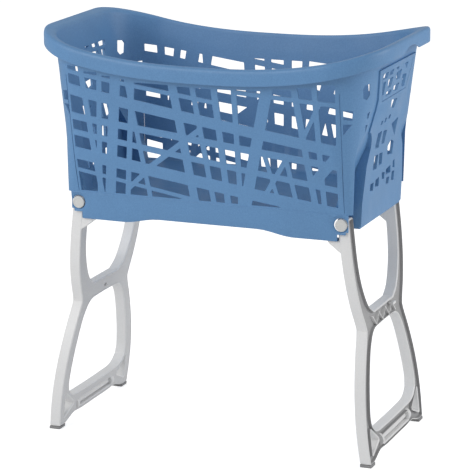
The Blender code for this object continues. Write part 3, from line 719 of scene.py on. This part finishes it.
under = loft("under", [
    flat_ring(-SKIRT_DROP - 0.02, SKIRT_WALL, 0.007),
    flat_ring(FLOOR_UNDERSIDE, SKIRT_WALL, 0.011),
], ruled=True)

fold_run = math.tan(FOLD_LEAN)
fork_inner = RAIL_OUTER - RAIL_WIDTH - SIDE_PLAY
fork_outer = RAIL_OUTER + SIDE_PLAY
corners = [("front_left", -1, -1), ("front_right", 1, -1), ("back_left", -1, 1), ("back_right", 1, 1)]


def channel(name, sx, sy, grow):
    """Wedge that one folded rail lies in, grown outward by a wall for the shell around it."""
    inner = fork_inner + 0.0003 - grow
    outline = [(inner, -0.0175), (fork_outer + 2 * grow, -0.0175), (fork_outer + 2 * grow, 0.115)]
    for i in range(15):
        t = math.pi * i / 14
        outline.append((0.1155 + (0.0285 + grow) * math.cos(t), 0.130 + (0.034 + grow) * math.sin(t)))
    outline += [(0.104 - grow, 0.100), (inner, 0.035)]
    rear = PIN_HALF_SPACING - (CHANNEL_DEPTH + grow) / math.cos(FOLD_LEAN)

    def place(u, v, end):
        return (sx * (0.37 if end else rear + v * fold_run), sy * u, PIN_HEIGHT + v)

    return prisms(name, [outline], place)


def corner_boxes(name, x0, x1, y0, y1, z0, z1):
    """The same box at all four corners, z up from the pin axis."""
    outlines = []
    for _, sx, sy in corners:
        outlines.append([(sx * x0, sy * y0), (sx * x1, sy * y0), (sx * x1, sy * y1), (sx * x0, sy * y1)])
    return prisms(name, outlines, lambda u, v, end: (u, v, PIN_HEIGHT + (z0, z1)[end]))


for corner, sx, sy in corners:
    combine(cavity, channel(corner + "_channel_shell", sx, sy, WALL))
combine(under, corner_boxes("cheeks", PIN_HALF_SPACING - 0.016, PIN_HALF_SPACING + 0.026,
                            fork_inner - CHEEK, fork_inner, -0.016, 0.03))
combine(under, corner_boxes("stops", PIN_HALF_SPACING - 0.034, PIN_HALF_SPACING - 0.026,
                            fork_inner + 0.002, 0.17, 0.001 - SKIRT_DROP, 0.03))

# Raised plate on each end, narrow below the framed field and wide over the rail channels
PLATE_EDGE = [(0.140, -0.008), (0.140, 0.092), (0.090, 0.200), (0.086, 0.216), (0.096, 0.250), (0.104, 0.272)]


def plate_half_width(z):
    """Half width of an end plate at height z."""
    for (y0, z0), (y1, z1) in zip(PLATE_EDGE, PLATE_EDGE[1:]):
        if z0 <= z <= z1:
            return y0 + (y1 - y0) * (z - z0) / (z1 - z0)


def plate_ring(z, turn):
    """Section of a plate at height z: a shallow slab with softened edges, sunk a little into the wall."""
    half, out = plate_half_width(z), end_reach(0.0, z) + PLATE
    sunk = out - PLATE - 0.0022
    section_points = [(out - 0.0005, -half), (out, -half + 0.0008), (out, half - 0.0008), (out - 0.0005, half),
                      (sunk, half), (sunk, -half)]
    return [(turn * x, y, PIN_HEIGHT + z) for x, y in section_points]


for turn in (1, -1):
    levels = (-0.008, 0.03, 0.06, 0.092, 0.13, 0.165, 0.200, 0.216, 0.232, 0.250, 0.272)
    combine(basket, loft("plate", [plate_ring(z, turn) for z in levels]), "UNION")

combine(basket, cavity)
combine(basket, under)
END_EDGE = 0.262            # the end walls' raised lower edge runs from here outward
PAST_END, PAST_SIDE, BELOW = 0.35, 0.2, -0.05     # clear of the basket
end_edges = []
for s in (-1, 1):
    end_edges.append([(s * END_EDGE, -PAST_SIDE), (s * PAST_END, -PAST_SIDE),
                      (s * PAST_END, PAST_SIDE), (s * END_EDGE, PAST_SIDE)])
combine(basket, prisms("end_edges", end_edges, lambda u, v, end: (u, v, PIN_HEIGHT + (BELOW, -END_DROP)[end])))
combine(basket, corner_boxes("fork_ends", PIN_HALF_SPACING + DEPTH_OUT + 0.0008, PAST_END,
                             fork_outer - 0.002, PAST_SIDE, BELOW, 0.020))
combine(basket, corner_boxes("notches", PIN_HALF_SPACING - 0.0075, PAST_END,
                             fork_inner - 0.02, PAST_SIDE, BELOW, -0.017))
for corner, sx, sy in corners:
    combine(basket, channel(corner + "_channel", sx, sy, 0.0))
    dish = [(sy * CAP_SEAT, CAP_RADIUS + 0.0012), (sy * (CAP_SEAT + 0.0012), CAP_RADIUS + 0.0022),
            (sy * (CAP_SEAT + 0.0045), CAP_RADIUS + 0.0080), (sy * 0.17, CAP_RADIUS + 0.0150)]
    combine(basket, turned(corner + "_dish", sx * PIN_HALF_SPACING, PIN_HEIGHT, dish))
    bore = [(sy * 0.09, PIN_RADIUS + GAP), (sy * 0.16, PIN_RADIUS + GAP)]
    combine(basket, turned(corner + "_bore", sx * PIN_HALF_SPACING, PIN_HEIGHT, bore, steps=24))

# Lattice windows with chamfered edges. The back mirrors the front with wider bars and a deeper solid band
# under the rim, and the left end is the right one turned half round.
SMALLEST_WINDOW = 0.000012
WINDOW_RADIUS = 0.0010
through = [(0.012, CHAMFER), (0.0003, CHAMFER), (0.0003 - CHAMFER, 0.0), (CHAMFER - WALL - 0.0003, 0.0),
           (-WALL - 0.0003, CHAMFER), (-WALL - 0.006, CHAMFER)]
long_panel = [(-0.2460, LATTICE_BOTTOM), (0.2500, LATTICE_BOTTOM), (0.2500, 0.285), (-0.2620, 0.285)]
for widening, under_rim, turn in ((1.12, 0.010, 1), (1.45, 0.020, -1)):
    long_cells = []
    for cell in windows(long_panel, [bar[:4] + (bar[4] * widening,) for bar in LONG_BARS], SMALLEST_WINDOW):
        middle = sum(u for u, v in cell) / len(cell)
        cell = clip(cell, 0.0, 1.0, rim_rise(middle) - RIM_BAND - under_rim)
        if len(cell) > 2 and abs(signed_area(cell)) > SMALLEST_WINDOW:
            long_cells.append(rounded(cell, WINDOW_RADIUS, 2))
    combine(basket, prisms("long_lattice", long_cells, lambda u, v, depth: (
        u, -turn * (front_reach(u, v) + depth), PIN_HEIGHT + v), through))
end_cells = [rounded(outline, WINDOW_RADIUS, 2) for outline in END_WINDOWS]
plate_through = [(depth + PLATE if depth > -0.001 else depth, growth) for depth, growth in through]
for turn in (1, -1):
    combine(basket, prisms("end_lattice", end_cells, lambda u, v, depth: (
        turn * (end_reach(0.0, v) + depth), turn * u, PIN_HEIGHT + v), plate_through))
CORNER_REACH = 0.05         # radius at which a corner's windows are laid out flat
corner_cells = []
for outline in CORNER_WINDOWS:
    corner_cells.append(rounded([(math.radians(t) * CORNER_REACH, z) for t, z in outline], 0.0008, 2))
for _, sx, sy in corners:
    def corner_point(u, v, depth):
        x, y, z = corner_place(math.degrees(u / CORNER_REACH), v, depth)
        return sx * x, sy * y, PIN_HEIGHT + z
    combine(basket, prisms("corner_lattice", corner_cells, corner_point, through))

# Step lines: the edges of the flat panel on the long sides and the framed field on the ends
GROOVE_WIDTH = 0.0013
PANEL_LINES = [((0.2610, 0.0235), (0.2570, 0.240)), ((-0.2505, 0.0235), (-0.2650, 0.240))]
FIELD = [(-0.088, 0.265), (-0.066, 0.210), (0.070, 0.212), (0.090, 0.265)]
for turn in (1, -1):
    for a, b in PANEL_LINES:
        strip = line_strip(spaced(a, b, 12), GROOVE_WIDTH)
        combine(basket, prisms("panel_line", [strip], lambda u, v, depth: (
            u, -turn * (front_reach(u, v) + depth), PIN_HEIGHT + v),
            [(0.01, 0.0), (-0.0010, 0.0)]))
    for a, b in zip(FIELD, FIELD[1:]):
        strip = line_strip(spaced(a, b, 3), GROOVE_WIDTH)
        combine(basket, prisms("field_line", [strip], lambda u, v, depth: (
            turn * (end_reach(0.0, v) + PLATE + depth), turn * u, PIN_HEIGHT + v),
            [(0.01, 0.0), (-0.0012, 0.0)]))
basket.data.materials.clear()
basket.data.materials.append(BLUE)
smooth(basket)
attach(basket, "basket_body")
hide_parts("basket")

# ---- Leg frames ---------------------------------------------------------------------------
splay_run = math.tan(SPLAY)
frame_foot = -PIN_HEIGHT + FOOT_PAD + GAP
frame_outer = [
    (RAIL_OUTER, RAIL_TOP), (RAIL_OUTER, -0.045), (0.1425, -0.080), (0.1360, -0.120), (0.1240, -0.158),
    (0.1080, -0.192), (0.1045, -0.202), (0.1100, -0.216), (0.1225, -0.240), (0.1385, -0.277),
    (0.1510, -0.315), (0.1585, -0.355), (0.1600, -0.395), (0.1565, frame_foot),
]
frame_inner = [(0.1320, frame_foot), (0.0950, -0.4250), (0.0600, -0.4262), (0.0250, -0.4262)]
grip_slot = [(GRIP_HALF + 0.001, -0.4180), (GRIP_HALF + 0.001, -0.4030)]
upper_inner = [
    (0.055, -0.177), (0.078, -0.163), (0.095, -0.140), (0.108, -0.110),
    (0.1145, -0.080), (RAIL_OUTER - RAIL_WIDTH, -0.050), (RAIL_OUTER - RAIL_WIDTH, RAIL_TOP),
]
lower_opening = [
    (0.052, -0.2075), (0.070, -0.2130), (0.0840, -0.2260), (0.0960, -0.2440),
    (0.1110, -0.2790), (0.1230, -0.3170), (0.1300, -0.3530), (0.1270, -0.3700), (0.1120, -0.3820),
    (0.0850, -0.3870),
]
pocket = [(0.1400, -0.3730), (0.1400, -0.4220), (0.0970, -0.4040)]


def mirrored(half):
    """Whole outline from its y > 0 half."""
    return half + [(-u, v) for u, v in reversed(half)]


def flat_faces(shape, loops, keys):
    """Fill between an outer loop and its holes; loops are lists of points, keys their vertices."""
    points = [Vector(p) for loop in loops for p in loop]
    verts = [v for key in keys for v in key]
    edges, base = [], 0
    for loop in loops:
        edges += [(base + i, base + (i + 1) % len(loop)) for i in range(len(loop))]
        base += len(loop)
    _, _, tris, orig, _, _ = delaunay_2d_cdt(points, edges, [], 0, 1e-9)
    made = []
    for tri in tris:
        centre = sum((points[orig[i][0]] for i in tri), Vector((0, 0))) / 3
        inside = point_in(centre, loops[0]) and not any(point_in(centre, hole) for hole in loops[1:])
        if inside:
            made.append(shape.faces.new([verts[orig[i][0]] for i in tri]))
    return made


def point_in(p, loop):
    """Whether p lies inside a closed outline."""
    inside = False
    for i, (u0, v0) in enumerate(loop):
        u1, v1 = loop[(i + 1) % len(loop)]
        if (v0 > p[1]) != (v1 > p[1]) and p[0] < (u1 - u0) * (p[1] - v0) / (v1 - v0) + u0:
            inside = not inside
    return inside


def moulding(name, loops, levels, place):
    """Plate through loops (an outline and its holes); a level is (depth, inset into the material, slot)."""
    shape = bmesh.new()
    rows = []
    for depth, inset, _ in levels:
        row = []
        for k, loop in enumerate(loops):
            flat = grown(loop, -inset if k == 0 else inset)
            row.append((flat, [shape.verts.new(place(u, v, depth)) for u, v in flat]))
        rows.append(row)
    for (lower, upper), (_, _, slot) in zip(zip(rows, rows[1:]), levels[1:]):
        for (_, a), (_, b) in zip(lower, upper):
            for i in range(len(a)):
                j = (i + 1) % len(a)
                shape.faces.new((a[i], a[j], b[j], b[i])).material_index = slot
    for row, slot in ((rows[0], levels[0][2]), (rows[-1], 2)):
        for face in flat_faces(shape, [r[0] for r in row], [r[1] for r in row]):
            face.material_index = slot
    bmesh.ops.recalc_face_normals(shape, faces=shape.faces)
    mesh = bpy.data.meshes.new(name)
    shape.to_mesh(mesh)
    shape.free()
    obj = bpy.data.objects.new(name, mesh)
    bpy.context.scene.collection.objects.link(obj)
    for material in (WHITE, RECESS_SHADE, HOLLOW_SHADE):
        obj.data.materials.append(material)
    return obj


LUG = [(0.002, -0.0302), (-0.031, -0.0302), (-0.027, -0.0365), (0.002, -0.0605)]
PEG = [(0.036, -0.1835), (0.050, -0.1830), (0.050, -0.1875), (0.036, -0.1880)]
SLOT = [(-0.006, -0.1975), (0.006, -0.1975), (0.006, -0.1915), (-0.006, -0.1915)]

# Slot 1 carries the painted recess shade and slot 2 the painted hollow shade; slot 0 is the frame's own white.
FRAME_LEVELS = [
    (-DEPTH_IN + GROOVE, EDGE + 0.0012, 1), (-DEPTH_IN, EDGE + 0.0008, 0), (-DEPTH_IN, EDGE, 1),
    (-DEPTH_IN + 0.0007, 0.0008, 0), (-DEPTH_IN + EDGE, 0.0, 0), (DEPTH_OUT - EDGE, 0.0, 0),
    (DEPTH_OUT - 0.0007, 0.0008, 0), (DEPTH_OUT, EDGE, 0), (DEPTH_OUT, EDGE + 0.0009, 1),
    (DEPTH_OUT - HOLLOW, EDGE + 0.0012, 2),
]

for name, body, turn in (("left", "left_leg", -1), ("right", "right_leg", 1)):
    def place(u, v, depth):
        return (turn * (PIN_HALF_SPACING + depth - v * splay_run), turn * u, PIN_HEIGHT + v)

    outline = rounded(curved(mirrored(upper_inner + frame_outer + frame_inner)), 0.0055)
    loops = [outline, rounded(curved(mirrored(lower_opening)), 0.004), rounded(mirrored(grip_slot), 0.003)]
    for sign in (-1, 1):
        loops.append(rounded([(sign * u, v) for u, v in pocket], 0.003))
    legs = moulding(name + "_leg_moulding", loops, FRAME_LEVELS, place)
    grip_x = turn * (PIN_HALF_SPACING + (DEPTH_OUT - DEPTH_IN) / 2 + GRIP_DROP * splay_run)
    for sign in (-1, 1):
        def lug_place(u, v, end):
            y = sign * (RAIL_OUTER - (0.0005, RAIL_WIDTH - 0.0005)[end])
            return turn * (PIN_HALF_SPACING + u - v * splay_run), turn * y, PIN_HEIGHT + v
        combine(legs, prisms("lug", [rounded(LUG, 0.0015)], lug_place), "UNION")
        collar = [(-0.0012, 0.0112), (-0.0003, 0.0124), (0.0010, 0.0130), (0.0085, 0.0130)]
        collar = [(sign * (GRIP_HALF + along), radius) for along, radius in collar]
        combine(legs, turned("collar", grip_x, PIN_HEIGHT - GRIP_DROP, collar), "UNION")
    bore = [(end * (GRIP_HALF + 0.006), GRIP_RADIUS + GAP) for end in (-1, 1)]
    combine(legs, turned("grip_bore", grip_x, PIN_HEIGHT - GRIP_DROP, bore, steps=32))
    ribs = [((i - 3.5) * RIB_PITCH, RIB_LOW if i % 2 else RIB_HIGH) for i in range(8)]
    combine(legs, prisms("ribs", [line_strip(ribs, RIB_WIDTH)], lambda u, v, end: place(
        u, v, DEPTH_OUT - (HOLLOW + 0.0006, 0.0006)[end])), "UNION")
    combine(legs, prisms("peg", [rounded(PEG, 0.0008)], lambda u, v, end: place(
        u, v, DEPTH_OUT + (-0.004, 0.006)[end])), "UNION")
    combine(legs, prisms("slot", [rounded(SLOT, 0.0012)], lambda u, v, end: place(
        u, v, -DEPTH_IN + (-0.003, 0.0055)[end])))
    smooth(legs)
    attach(legs, body)
    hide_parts(name + "_leg_frame")

# ---- Pins, clips, grips and pads ----------------------------------------------------------
for corner, sx, sy in corners:
    inner = fork_inner - CHEEK
    seat = CAP_SEAT + GAP
    profile = [(inner - 0.006, PIN_RADIUS - 0.0006), (inner - 0.0054, PIN_RADIUS), (seat, PIN_RADIUS),
               (seat, CAP_RADIUS - 0.0003), (seat + 0.0003, CAP_RADIUS), (seat + CAP_THICK - 0.0010, CAP_RADIUS),
               (seat + CAP_THICK - 0.0003, CAP_RADIUS - 0.0004), (seat + CAP_THICK, CAP_RADIUS - 0.0012),
               (seat + CAP_THICK, CAP_RADIUS - 0.0034), (seat + CAP_THICK - 0.0003, CAP_RADIUS - 0.0038),
               (seat + CAP_THICK - 0.0003, 0.0012), (seat + CAP_THICK - 0.0002, 0.0004)]
    pin = turned(corner + "_pin_capped", sx * PIN_HALF_SPACING, PIN_HEIGHT, [(sy * y, r) for y, r in profile])
    pin.data.materials.append(CAP)
    smooth(pin)
    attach(pin, "basket_body")
    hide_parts(corner + "_pin")
for node, obj in frame["nodes"].items():
    finish = {"_clip": CAP, "_bar": WHITE, "_pad": PAD}.get(node[node.rfind("_"):])
    if finish:
        obj.data.materials.clear()
        obj.data.materials.append(finish)
